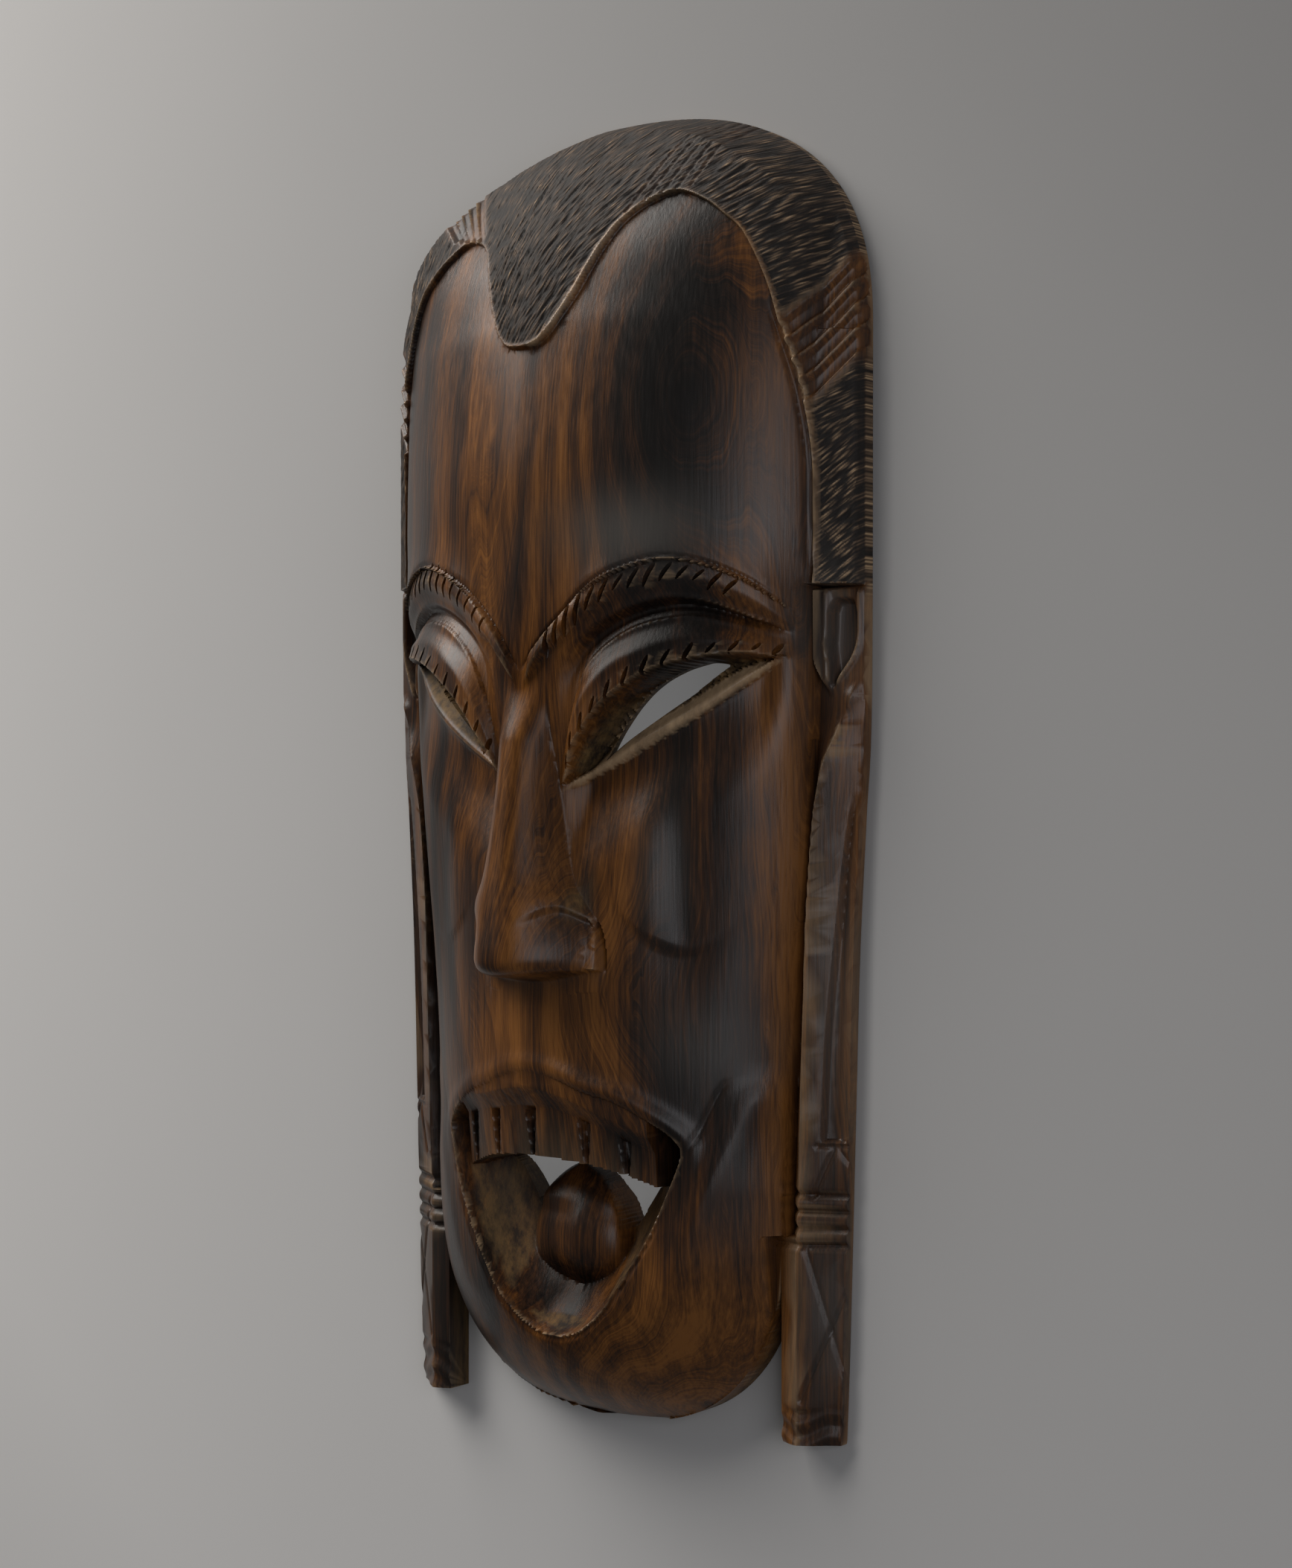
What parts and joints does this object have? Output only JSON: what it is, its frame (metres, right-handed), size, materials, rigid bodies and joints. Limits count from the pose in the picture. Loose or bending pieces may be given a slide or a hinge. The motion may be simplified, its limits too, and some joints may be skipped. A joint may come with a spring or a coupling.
{
  "type": "tribal mask",
  "caption": "Carved hardwood face mask with a tall forehead, textured hair, slit eyes, an open toothed mouth with a tongue, and long ear lobes that end in free pendants; hollow behind.",
  "frame": {"origin": "under the middle of the mask's bounding box, on the flat plane of its back rim, on which it lies", "axes": "+X across the face towards the picture's right side, +Y from the chin to the crown, +Z out of the face; the mask lies on its back, face up"},
  "size_m": [0.25, 0.5474, 0.089],
  "materials": {
    "mask": "waxed and polished dark hardwood with worn matt hair"
  },
  "bodies": {
    "root": {"mask": "mask"}
  },
  "joints": []
}
